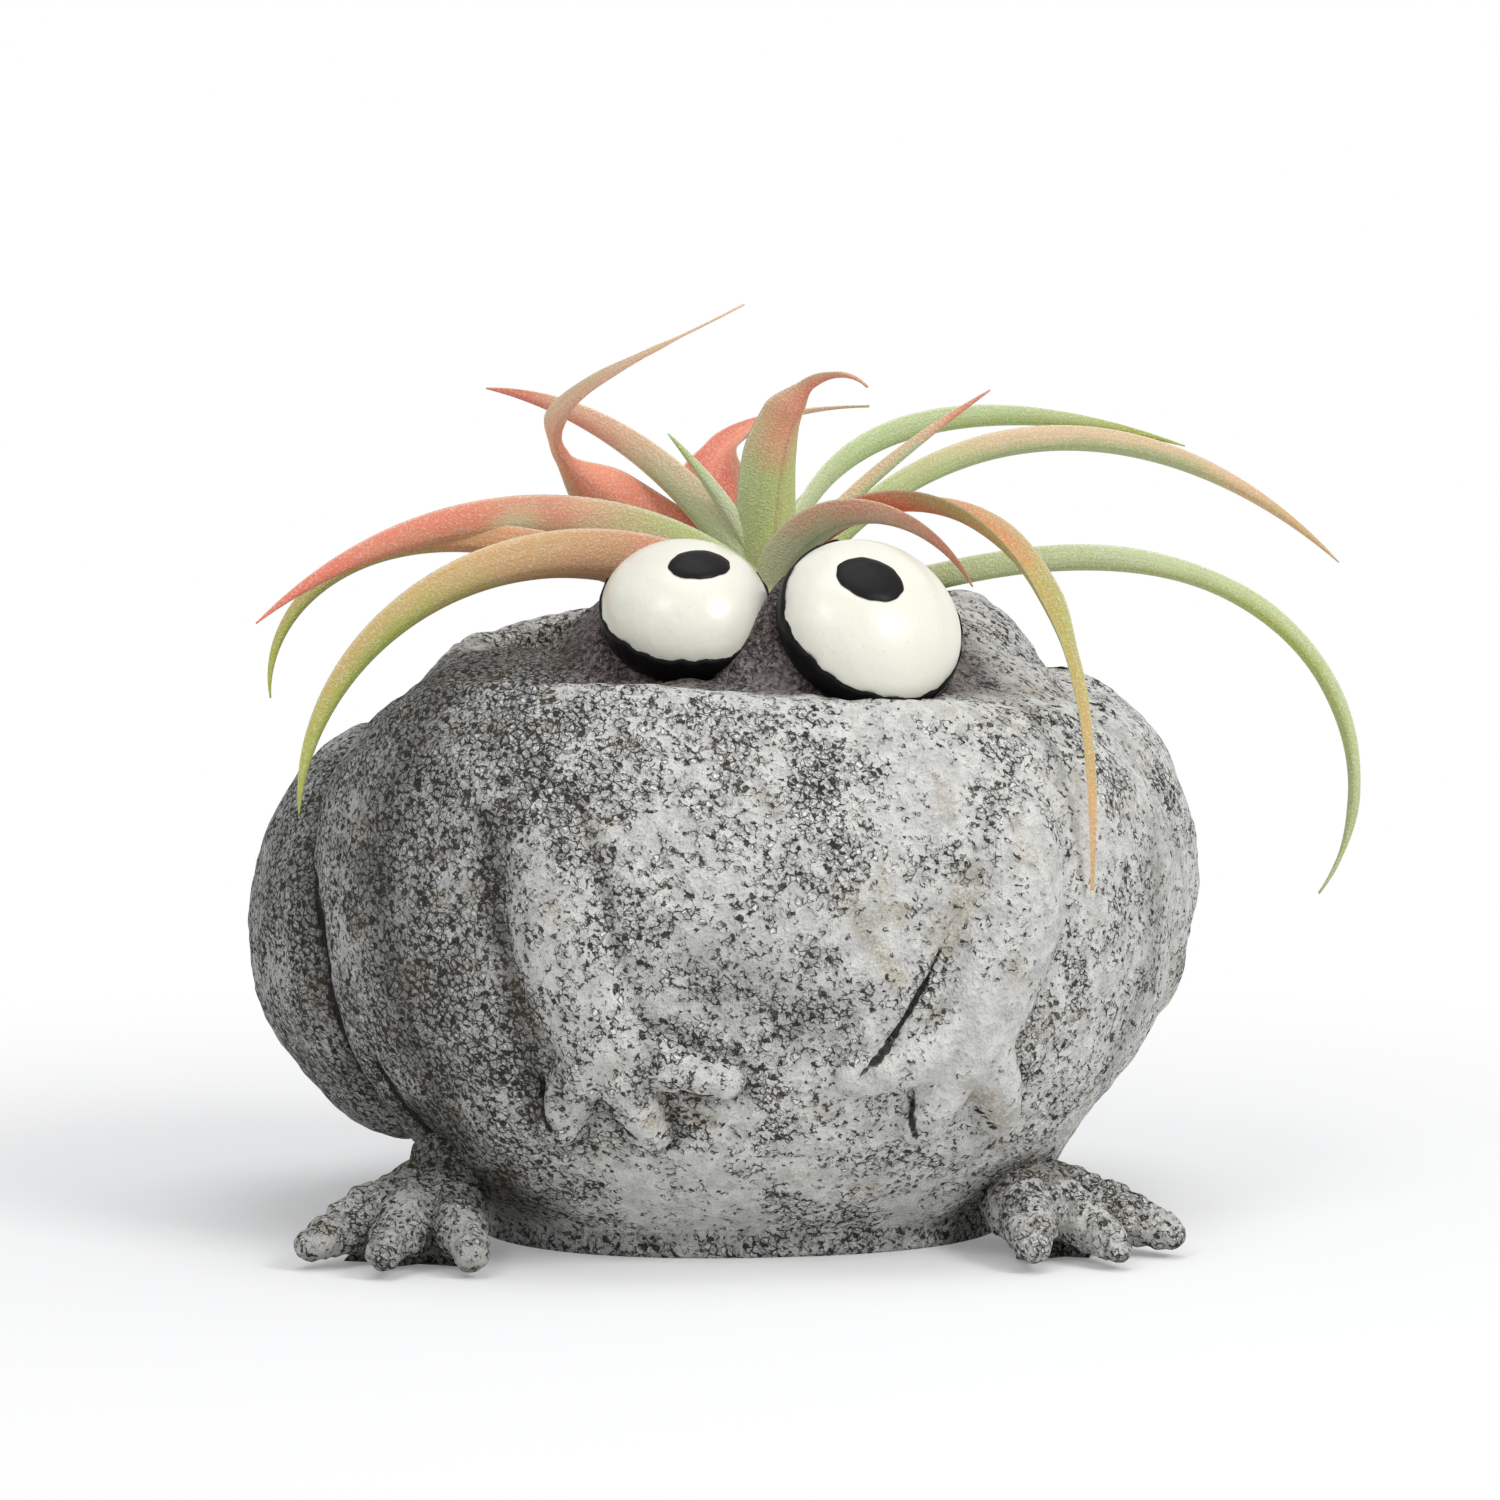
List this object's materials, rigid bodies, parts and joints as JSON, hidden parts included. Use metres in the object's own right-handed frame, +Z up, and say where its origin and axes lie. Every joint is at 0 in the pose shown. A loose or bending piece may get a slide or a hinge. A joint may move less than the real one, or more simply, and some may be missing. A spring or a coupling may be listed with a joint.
{
  "type": "frog planter",
  "caption": "Squat frog-shaped stone planter with big glazed eyes, a well in its head, and an air plant that lifts out of the well.",
  "frame": {"origin": "middle of the flat base, on the ground", "axes": "+Z up, the frog faces -Y, +X is to the right as seen from the front"},
  "size_m": [0.1933, 0.1388, 0.1461],
  "materials": {
    "stone": "rough",
    "eye_white": "gloss",
    "eye_black": "gloss",
    "bark": "rough",
    "crown": "satin",
    "leaf": "satin"
  },
  "bodies": {
    "planter": {"frog_body": "stone", "left_eye": "eye_white", "left_eye_rim": "eye_black", "left_pupil": "eye_black", "right_eye": "eye_white", "right_eye_rim": "eye_black", "right_pupil": "eye_black", "bark_bed": "bark"},
    "air_plant": {"plant_crown": "crown", "leaf_centre": "leaf", "leaf_small": "leaf", "leaf_red_back": "leaf", "leaf_spike": "leaf", "leaf_high_left": "leaf", "leaf_right_back": "leaf", "leaf_folded": "leaf", "leaf_twisted": "leaf", "leaf_right_upper": "leaf", "leaf_left_upper": "leaf", "leaf_cheek": "leaf", "leaf_left_middle": "leaf", "leaf_left_low": "leaf", "leaf_right_low": "leaf"}
  },
  "joints": [
    {"name": "plant_lift", "type": "slide", "parent": "planter", "child": "air_plant", "axis": [0, 0, 1], "range_m": [0, 0.1]}
  ]
}
